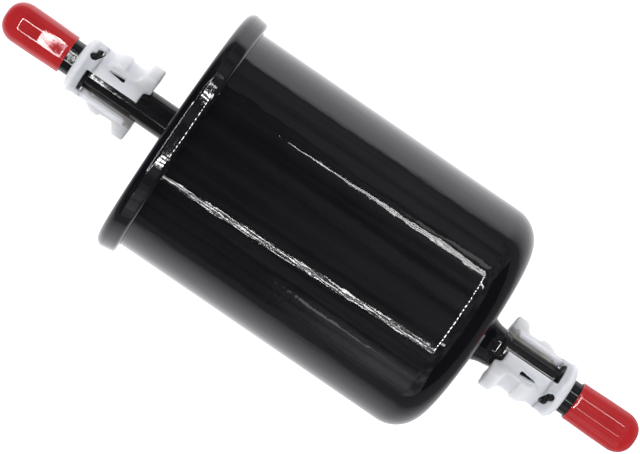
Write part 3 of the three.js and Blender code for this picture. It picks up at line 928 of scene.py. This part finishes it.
def along_x(tree, geometry, x):
    """Lay a shape made along Z down on the X axis, starting at x."""
    return tree.node("GeometryNodeTransform", None, {
        "Geometry": geometry, "Rotation": (0, math.radians(90), 0), "Translation": (x, 0, 0)})["Geometry"]


def grown_piece(node, tree, geometry, finish, body, sharp_degrees=32):
    mesh = tree.grow(geometry, finish)
    tidy_mesh(mesh, sharp_degrees)
    piece = add_piece(f"{node}_fine", mesh, finish)
    return fit_piece(piece, body, [node])


# %% [markdown]
# ## The pleated paper
# The paper is one long sheet folded to and fro. A circle gets four points to a pleat: two stay out as
# the corners of a fold, and two move in. A fillet rounds each corner, and a thin tall rectangle swept
# along the curve gives the sheet its thickness and its length. Folds need two corners each, because a
# fillet on a single sharp corner would eat most of the pleat's height.

# %% Fold the paper
MEDIA_START_X, MEDIA_END_X, MEDIA_RADIUS = turned_span("filter_media")
CENTRE_TUBE_RADIUS = turned_span("centre_tube")[2]
PLEATS = 48
INNER_FOLD_SPREAD = 0.16  # shares of a pleat that the inner corners move apart


def pleated_paper():
    length = (MEDIA_END_X - MEDIA_START_X) * MM
    tree = GeometryTree("pleats", Count=PLEATS, Outer=(MEDIA_RADIUS - 0.3) * MM,
                        Inner=(CENTRE_TUBE_RADIUS + 0.8) * MM, Sheet=0.3 * MM, Length=length)
    circle = tree.node("GeometryNodeCurvePrimitiveCircle", None,
                       {"Resolution": tree.size("Count") * 4, "Radius": 1.0})["Curve"]
    index = tree.node("GeometryNodeInputIndex")["Index"]
    corner = tree.math("MODULO", index, 4.0)
    is_inner = tree.math("GREATER_THAN", corner, 1.5)
    radius = tree.size("Outer") + (tree.size("Inner") - tree.size("Outer")) * is_inner
    share = is_inner * (corner - 2.5) * INNER_FOLD_SPREAD - 0.125  # a fold lies under the seam strip
    place = tree.node("GeometryNodeInputPosition")["Position"]
    turned = tree.node("ShaderNodeVectorRotate", {"rotation_type": "Z_AXIS"},
                       {"Vector": place, "Angle": share * (2 * math.pi) / tree.size("Count")})
    moved = tree.node("ShaderNodeVectorMath", {"operation": "SCALE"},
                      {"Vector": turned["Vector"], "Scale": radius})
    star = tree.node("GeometryNodeSetPosition", None, {"Geometry": circle, "Position": moved["Vector"]})
    folds = tree.node("GeometryNodeFilletCurve", {"mode": "POLY"},
                      {"Curve": star["Geometry"], "Count": 3, "Radius": 0.28 * MM, "Limit Radius": True})
    sheet = tree.node("GeometryNodeCurvePrimitiveQuadrilateral", None,
                      {"Width": tree.size("Sheet"), "Height": tree.size("Length")})
    swept = tree.node("GeometryNodeCurveToMesh", None,
                      {"Curve": folds["Curve"], "Profile Curve": sheet["Curve"]})
    middle = (MEDIA_START_X + MEDIA_END_X) / 2 * MM
    return tree, along_x(tree, swept["Mesh"], middle)


filter_media = grown_piece("filter_media", *pleated_paper(), "filter_paper", "element", 60)
print("paper box:", [round(c / MM, 1) for c in filter_media.dimensions])

# %% [markdown]
# ## The spring
# The spring's coil is a line of points that each take an angle and a step along X. Its end turns are
# wound closer, as on a ground compression spring, by slowing the step near both ends.

# %% Wind the spring
SPRING_START_X, SPRING_END_X, SPRING_OUTSIDE = turned_span("element_spring")
SPRING_TURNS = 3.25
WIRE = 1.4


def coiled_spring():
    tree = GeometryTree("spring", Turns=SPRING_TURNS, Radius=(SPRING_OUTSIDE - WIRE / 2) * MM,
                        Wire=WIRE / 2 * MM, Length=(SPRING_END_X - SPRING_START_X - WIRE) * MM)
    line = tree.node("GeometryNodeCurvePrimitiveLine")["Curve"]
    points = tree.node("GeometryNodeResampleCurve", None, {"Curve": line, "Count": 160})
    share = tree.node("GeometryNodeSplineParameter")["Factor"]
    wave = tree.math("SINE", share * (2 * math.pi))
    step = share - wave * (0.45 / (2 * math.pi))
    angle = share * tree.size("Turns") * (2 * math.pi)
    across = tree.math("COSINE", angle)
    up = tree.math("SINE", angle)
    start = (SPRING_START_X + WIRE / 2) * MM
    place = tree.join(step * tree.size("Length") + start,
                      across * tree.size("Radius"), up * tree.size("Radius"))
    coil = tree.node("GeometryNodeSetPosition", None, {"Geometry": points["Curve"], "Position": place})
    wire = tree.node("GeometryNodeCurvePrimitiveCircle", None,
                     {"Resolution": 14, "Radius": tree.size("Wire")})
    swept = tree.node("GeometryNodeCurveToMesh", None,
                      {"Curve": coil["Geometry"], "Profile Curve": wire["Curve"], "Fill Caps": True})
    return tree, swept["Mesh"]


element_spring = grown_piece("element_spring", *coiled_spring(), "spring_steel", "housing")
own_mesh(element_spring)

# %% [markdown]
# ## The centre tube
# The moulded centre tube holds the pleats open and lets the fuel in through rows of windows. A plain
# pipe is cut by one block copied on a grid of points: around the tube and along it.

# %% Cut the windows
def windowed_tube():
    low_x, high_x, radius = turned_span("centre_tube")
    tree = GeometryTree("centre_tube", Rows=4, Around=6, Outer=radius * MM, Wall=0.6 * MM,
                        Length=(high_x - low_x) * MM, Window=8 * MM)
    pipe = tree.node("GeometryNodeCurvePrimitiveCircle", None,
                     {"Resolution": 72, "Radius": tree.size("Outer") - tree.size("Wall") * 0.5})
    wall = tree.node("GeometryNodeCurvePrimitiveQuadrilateral", None,
                     {"Width": tree.size("Wall"), "Height": tree.size("Length")})
    swept = tree.node("GeometryNodeCurveToMesh", None,
                      {"Curve": pipe["Curve"], "Profile Curve": wall["Curve"]})["Mesh"]
    pitch = tree.size("Length") / tree.size("Rows")
    count = tree.size("Rows") * tree.size("Around")
    points = tree.node("GeometryNodePoints", None, {"Count": count})["Points"]
    index = tree.node("GeometryNodeInputIndex")["Index"]
    row = tree.math("FLOOR", index / tree.size("Around"))
    angle = index * (2 * math.pi) / tree.size("Around")
    height = pitch * (row + 0.5) - tree.size("Length") * 0.5
    placed = tree.node("GeometryNodeSetPosition", None,
                       {"Geometry": points, "Position": tree.join(z=height)})["Geometry"]
    block = tree.node("GeometryNodeMeshCube", None, {"Size": tree.join(0.03, 4.4 * MM, tree.size("Window"))})
    aside = tree.node("GeometryNodeTransform", None,
                      {"Geometry": block["Mesh"], "Translation": (0.015, 0, 0)})
    copies = tree.node("GeometryNodeInstanceOnPoints", None,
                       {"Points": placed, "Instance": aside["Geometry"], "Rotation": tree.join(z=angle)})
    opened = tree.node("GeometryNodeMeshBoolean", {"operation": "DIFFERENCE", "solver": "EXACT"},
                       {0: swept, 1: copies["Instances"]})["Mesh"]
    return tree, along_x(tree, opened, (low_x + high_x) / 2 * MM)


grown_piece("centre_tube", *windowed_tube(), "core_nylon", "element")

# %% [markdown]
# ## The ends of the element
# Two pressed tin discs close the element. Plastisol is poured into each as a glue, a rubber grommet
# seals the open one onto the outlet tube, and a folded tin strip holds the paper's two ends together.

# %% Discs, potting, grommet and seam strip
DISC_SHEET = 0.6


def closed_disc_outline():
    boss_x, skirt_x, radius = turned_span("closed_end_disc")
    rim = 7.7
    face_x = boss_x + 1.4
    sheet = DISC_SHEET
    return [
        (boss_x, 0), (boss_x, rim, 0.6), (face_x, rim, 0.3), (face_x, radius, 0.8),
        (skirt_x, radius, 0.15), (skirt_x, radius - sheet, 0.15), (face_x + sheet, radius - sheet, 0.3),
        (face_x + sheet, rim - sheet, 0.6), (boss_x + sheet, rim - sheet, 0.2), (boss_x + sheet, 0),
    ]


def open_disc_outline():
    skirt_x, face_x, radius = turned_span("open_end_disc")
    hole = 6.7
    sheet = DISC_SHEET
    return [
        (face_x, hole, 0.15), (face_x, radius, 0.8), (skirt_x, radius, 0.15),
        (skirt_x, radius - sheet, 0.15), (face_x - sheet, radius - sheet, 0.3), (face_x - sheet, hole, 0.15),
    ]


def potting_outline(node):
    low_x, high_x, radius = turned_span(node)
    inner = CENTRE_TUBE_RADIUS - 0.6
    return [(low_x, inner, 0.2), (low_x, radius, 0.3), (high_x, radius, 0.3), (high_x, inner, 0.2)]


def grommet_outline():
    low_x, high_x, lip = turned_span("outlet_grommet")
    disc_x = turned_span("open_end_disc")[1]
    wall = TUBE_HOLE + 2.1
    return [
        (low_x, TUBE_HOLE, 0.3), (low_x, lip, 0.3), (low_x + 0.8, lip, 0.3), (low_x + 0.8, wall, 0.2),
        (disc_x + FIT_GAP, wall, 0.2), (disc_x + FIT_GAP, lip, 0.3), (disc_x + FIT_GAP + 0.8, lip, 0.3),
        (disc_x + FIT_GAP + 1.2, wall, 0.3), (high_x, wall, 0.5), (high_x, TUBE_HOLE, 0.4),
    ]


turned_piece("closed_end_disc", closed_disc_outline(), SMALL_FACETS, "tinplate", "element", closed=False)
turned_piece("open_end_disc", open_disc_outline(), SMALL_FACETS, "tinplate", "element")
turned_piece("outlet_grommet", grommet_outline(), SMALL_FACETS, "grommet_rubber", "element")
for node in ("closed_end_potting", "open_end_potting"):
    turned_piece(node, potting_outline(node), SMALL_FACETS, "plastisol", "element")


# %% Fold the seam strip
def seam_strip():
    """A channel in the YZ plane, run along X. Its corners are rounded by a bevel."""
    low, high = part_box("pleat_seam_clip")
    wall = 0.4 * MM
    section = [(low.y, low.z), (low.y, high.z), (high.y, high.z), (high.y, low.z),
               (high.y - wall, low.z), (high.y - wall, high.z - wall),
               (low.y + wall, high.z - wall), (low.y + wall, low.z)]
    mesh = between("seam_strip", *[[(x, y, z) for y, z in section] for x in (low.x, high.x)])
    return with_modifiers(mesh, ("BEVEL", {"width": 0.12 * MM, "segments": 3}))


strip_mesh = seam_strip()
tidy_mesh(strip_mesh)
fit_piece(add_piece("pleat_seam_clip_fine", strip_mesh, "tinplate"), "element",
          ["pleat_seam_clip"])

# %% [markdown]
# ## Floor and light
# The filter lies on a white sweep. Gloss black shows only what it mirrors, so the room is planned by
# reflection. The sweep is white near the filter and falls away into the dark, which rolls a soft grey
# band round the outline. A dim ceiling lifts the black a little towards the outlet. Rows of small lamps
# overhead draw the two bright lines along the can, and the fine dots round its ends.

# %% The white floor
FLOOR_Z = -SEAM_RADIUS * MM
SWEEP_MIDDLE = (-30, 120)  # brightest place of the mirrored sweep
SWEEP_REACH = 150  # still fully lit this far out
SWEEP_FADE = 240  # and then dim after this much more
SWEEP_NARROWING = 2.5  # the lit part is this much shorter along X
SWEEP_GLOW, SWEEP_DIM = 1.25, 0.2


def flat_card(name, corners, material):
    mesh = bpy.data.meshes.new(name)
    mesh.from_pydata(corners, [], [tuple(range(len(corners)))])
    mesh.materials.append(material)
    card = bpy.data.objects.new(name, mesh)
    bpy.context.collection.objects.link(card)
    return card


def place_in_mm(graph):
    """Object X and Y in millimetres."""
    place = graph.node("ShaderNodeTexCoord")["Object"]
    split = graph.node("ShaderNodeSeparateXYZ", None, {"Vector": place})
    return split["X"] * 1000, split["Y"] * 1000


def clamped(graph, value):
    return graph.node("ShaderNodeClamp", None, {"Value": value})["Result"]


def end_with(graph, shader_socket, kind="Material"):
    output = graph.tree.nodes[f"{kind} Output"]
    graph.tree.links.new(shader_socket.socket, output.inputs["Surface"])


def floor_finish():
    """White to the eye. In a mirror its light fades with the distance from the filter."""
    material, graph, shader = new_finish("white_sweep", (0.9, 0.9, 0.9), 1.0)
    shader.inputs["Specular IOR Level"].default_value = 0.0
    shader.inputs["Emission Color"].default_value = (1, 1, 1, 1)
    shader.inputs["Emission Strength"].default_value = 0.75
    x, y = place_in_mm(graph)
    along = (x - SWEEP_MIDDLE[0]) * SWEEP_NARROWING
    across = y - SWEEP_MIDDLE[1]
    away = graph.math("SQRT", along * along + across * across)
    lit = clamped(graph, 1 - (away - SWEEP_REACH) / SWEEP_FADE)
    mirrored = graph.node("ShaderNodeEmission", None,
                          {"Color": (0.97, 0.97, 1.0, 1), "Strength": lit * SWEEP_GLOW + SWEEP_DIM})
    seen = graph.node("ShaderNodeLightPath")["Is Glossy Ray"]
    mixed = graph.node("ShaderNodeMixShader", None,
                       {"Fac": seen, 1: Value(graph, shader.outputs[0]), 2: mirrored["Emission"]})
    end_with(graph, mixed["Shader"])
    return material


FLOOR_REACH = 6.0
flat_card("floor", [(x, y, FLOOR_Z) for x, y in (
    (-FLOOR_REACH, -FLOOR_REACH), (FLOOR_REACH, -FLOOR_REACH),
    (FLOOR_REACH, FLOOR_REACH), (-FLOOR_REACH, FLOOR_REACH))], floor_finish())


# %% The room around it
def room_light():
    """White where it is looked at, a cool soft light on the pieces, and dark where gloss mirrors it."""
    world = bpy.data.worlds.new("room")
    world.use_nodes = True
    graph = Graph(world.node_tree)
    white = graph.node("ShaderNodeBackground", None, {"Color": (1, 1, 1, 1), "Strength": 1.0})
    cool = graph.node("ShaderNodeBackground", None, {"Color": (0.97, 0.98, 1.02, 1), "Strength": 1.0})
    dark = graph.node("ShaderNodeBackground", None, {"Color": (1, 1, 1.1, 1), "Strength": 0.02})
    path = graph.node("ShaderNodeLightPath")
    lit = graph.node("ShaderNodeMixShader", None, {
        "Fac": path["Is Camera Ray"], 1: cool["Background"], 2: white["Background"]})
    mixed = graph.node("ShaderNodeMixShader", None, {
        "Fac": path["Is Glossy Ray"], 1: lit["Shader"], 2: dark["Background"]})
    end_with(graph, mixed["Shader"], "World")
    return world


bpy.context.scene.world = room_light()


def only_in_gloss(card):
    card.visible_camera = card.visible_diffuse = card.visible_shadow = False
    return card


# %% A dim ceiling and two dim walls
CEILING_HEIGHT = 700
WALL_DISTANCE = 1200
CARD_REACH = 1400


def dim_card_finish(name, dark_x, light_x, dark, light, blotch_mm):
    """An uneven glow that rises along X from dark to light."""
    material, graph, _ = new_finish(name, (0, 0, 0), 1.0)
    x = place_in_mm(graph)[0]
    rise = clamped(graph, (x - dark_x) / (light_x - dark_x))
    patches = clamped(graph, (noise(graph, blotch_mm, 2.0, (0.6, 1, 1)) - 0.38) * 4)
    glow = (rise * (light - dark) + dark) * (patches * 0.7 + 0.3)
    light_node = graph.node("ShaderNodeEmission", None, {"Color": (0.95, 0.96, 1.0, 1), "Strength": glow})
    end_with(graph, light_node["Emission"])
    return material


ceiling_corners = [(-600, -CARD_REACH), (-600, CARD_REACH), (700, CARD_REACH), (700, -CARD_REACH)]
ceiling_light = dim_card_finish("ceiling", -60, 110, 0.07, 0.36, 150)
only_in_gloss(flat_card("ceiling", [(x * MM, y * MM, CEILING_HEIGHT * MM) for x, y in ceiling_corners],
                        ceiling_light))
for name, side, dark, light in (("wall_upper", 1, 0.3, 0.34), ("wall_lower", -1, 0.14, 0.8)):
    y = side * WALL_DISTANCE * MM
    wall_light = dim_card_finish(name, 30, 120, dark, light, 260)
    only_in_gloss(flat_card(name, [(-0.9, y, -0.25), (0.9, y, -0.25), (0.9, y, 0.9), (-0.9, y, 0.9)],
                            wall_light))


# %% Rows of lamps
LAMP_HEIGHT = 420
LAMP_LINE_PITCH = 24  # a wide row holds several lines of lamps


def lamp_finish(name, strength, pitch_mm=None, group_mm=None):
    """Small lamps spaced along the strip's own length. Without a pitch the strip glows all along.

    A group pitch dims every other stretch of lamps, but the can's reflection barely shows it.
    """
    material, graph, _ = new_finish(name, (0, 0, 0), 1.0)
    light = graph.node("ShaderNodeEmission", None, {"Strength": strength})
    end_with(graph, light["Emission"])
    if not pitch_mm:
        return material
    place = graph.node("ShaderNodeTexCoord")["UV"]
    split = graph.node("ShaderNodeSeparateXYZ", None, {"Vector": place})

    def pulses(run, pitch, share, dim):
        wave = graph.math("PINGPONG", run, pitch / 2)
        lit = graph.math("LESS_THAN", wave, pitch / 2 * share)
        return lit * (1 - dim) + dim

    glow = pulses(split["X"], pitch_mm, 0.5, 0.05) * pulses(split["Y"], LAMP_LINE_PITCH, 0.55, 0.1)
    if group_mm:
        glow = glow * pulses(split["X"], group_mm, 0.5, 0.1)
    graph.tree.links.new((glow * strength).socket, light.node.inputs["Strength"])
    return material


def lamp_row(name, start, end, widths, finish):
    """A strip from one place to the next, as wide at each end as widths says."""
    first, last = Vector((*start, LAMP_HEIGHT)) * MM, Vector((*end, LAMP_HEIGHT)) * MM
    along = last - first
    across = along.cross(Vector((0, 0, 1))).normalized() * MM / 2
    near, far = across * widths[0], across * widths[1]
    row = only_in_gloss(flat_card(name, [first - near, last - far, last + far, first + near], finish))
    length = along.length / MM
    corners = [(0, -widths[0]), (length, -widths[1]), (length, widths[1]), (0, widths[0])]
    layer = row.data.uv_layers.new(name="along")
    for loop, (u, v) in zip(layer.data, corners):
        loop.uv = (u, v / 2)
    return row


def lamp_rows(name, rows):
    """Rows given as side, start, end, widths, strength, pitch and, for grouped lamps, group pitch."""
    for side, start, end, widths, *glow in rows:
        lamp_row(f"{name}_{side}", start, end, widths, lamp_finish(f"{name}_{side}", *glow))


lamp_rows("lamps_can", [
    ("upper", (-14, 440), (98, 485), (14, 110), 34, 2.8),
    ("outlet", (98, 455), (84, -265), (9, 9), 60, 34),
    ("lower", (84, -265), (-52, -385), (52, 52), 46, 3.4, 24),
    ("inlet", (-92, -385), (-92, 440), (7, 7), 60, 28),
    ("soft_upper", (50, 560), (140, 690), (14, 70), 1.5),
    ("soft_lower", (40, -900), (88, -990), (8, 90), 2.2),
])
lamp_rows("lamps_inlet_end", [
    ("upper", (-166, 185), (-92, 185), (22, 22), 34),
    ("lower", (-92, -355), (-166, -355), (26, 26), 40),
    ("far", (-166, -355), (-166, 185), (14, 14), 40),
])
lamp_rows("lamps_outlet_end", [
    ("upper", (106, 340), (200, 330), (24, 24), 22),
    ("lower", (200, -190), (112, -190), (18, 18), 12),
])
